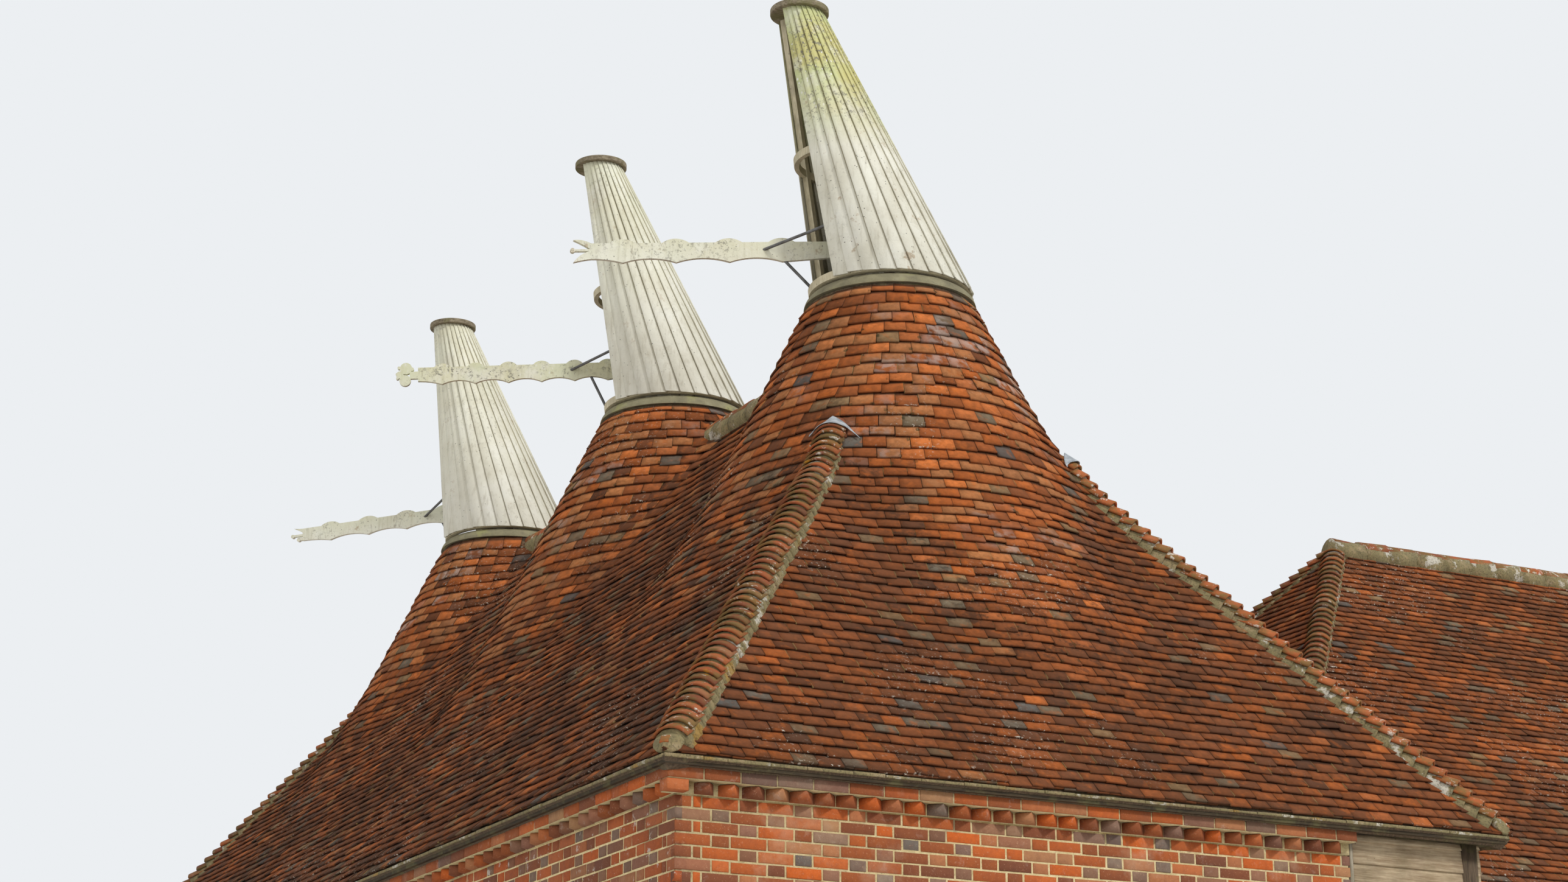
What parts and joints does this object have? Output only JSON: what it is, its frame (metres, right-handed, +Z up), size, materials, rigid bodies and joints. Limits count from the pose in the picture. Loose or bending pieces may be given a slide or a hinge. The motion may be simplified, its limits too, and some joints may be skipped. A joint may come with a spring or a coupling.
{
  "type": "oast house",
  "caption": "Brick oast house with a hipped tile roof, round tile cones, turning boarded cowls with wind vanes, and a boarded store wing.",
  "frame": {"origin": "on the ground under the middle of the near end wall's thickness, below the kiln row's axis", "axes": "+X along the near end wall towards the boarded side, +Y along the row of kilns away from the near end, +Z up"},
  "size_m": [17.03, 12.62, 11.343],
  "materials": {
    "brick": "matt old brick with lime mortar",
    "weatherboard": "weathered pale boards",
    "old_timber": "rough dark timber",
    "roof_tiles": "matt clay tiles with moss and lichen",
    "hip_tiles": "matt clay bonnets bedded in mortar",
    "cement": "rough grey cement",
    "cowl_paint": "worn white paint on boards",
    "weathered_cap": "bare weathered timber",
    "lead": "dull weathered lead sheet",
    "iron": "dull painted iron"
  },
  "bodies": {
    "root": {"end_wall": "brick", "long_wall": "brick", "far_end_wall": "brick", "end_cornice": "brick", "long_cornice": "brick", "far_end_cornice": "brick", "back_wall": "weatherboard", "boarded_panels": "weatherboard", "wing_front_wall": "weatherboard", "wing_back_wall": "weatherboard", "wing_end_wall": "weatherboard", "corner_posts": "old_timber", "eaves_boards": "old_timber", "wing_eaves_boards": "old_timber", "wing_valley_beam": "old_timber", "pivot_1": "old_timber", "pivot_2": "old_timber", "pivot_3": "old_timber", "left_slope": "roof_tiles", "right_slope": "roof_tiles", "near_slope": "roof_tiles", "far_slope": "roof_tiles", "tile_cone_1": "roof_tiles", "tile_cone_2": "roof_tiles", "tile_cone_3": "roof_tiles", "wing_front_slope": "roof_tiles", "wing_back_slope": "roof_tiles", "wing_near_slope": "roof_tiles", "wing_far_slope": "roof_tiles", "near_left_hip": "hip_tiles", "near_right_hip": "hip_tiles", "far_left_hip": "hip_tiles", "far_right_hip": "hip_tiles", "saddle_ridges": "hip_tiles", "wing_ridge": "hip_tiles", "wing_hips": "hip_tiles", "hip_hoods": "lead", "curb_1": "cement", "curb_2": "cement", "curb_3": "cement"},
    "cowl_1": {"cowl_1_boards": "cowl_paint", "cowl_1_cap": "weathered_cap", "cowl_1_frame": "old_timber", "vane_1": "cowl_paint", "vane_1_stays": "iron"},
    "cowl_2": {"cowl_2_boards": "cowl_paint", "cowl_2_cap": "weathered_cap", "cowl_2_frame": "old_timber", "vane_2": "cowl_paint", "vane_2_stays": "iron"},
    "cowl_3": {"cowl_3_boards": "cowl_paint", "cowl_3_cap": "weathered_cap", "cowl_3_frame": "old_timber", "vane_3": "cowl_paint", "vane_3_stays": "iron"}
  },
  "joints": [
    {"name": "cowl_1_turn", "type": "hinge", "parent": "root", "child": "cowl_1", "pos_m": [0, 2.3885, 8.958], "axis": [0, 0, 1], "continuous": true},
    {"name": "cowl_2_turn", "type": "hinge", "parent": "root", "child": "cowl_2", "pos_m": [0, 5.9885, 9.118], "axis": [0, 0, 1], "continuous": true},
    {"name": "cowl_3_turn", "type": "hinge", "parent": "root", "child": "cowl_3", "pos_m": [0, 9.5885, 8.908], "axis": [0, 0, 1], "continuous": true}
  ]
}
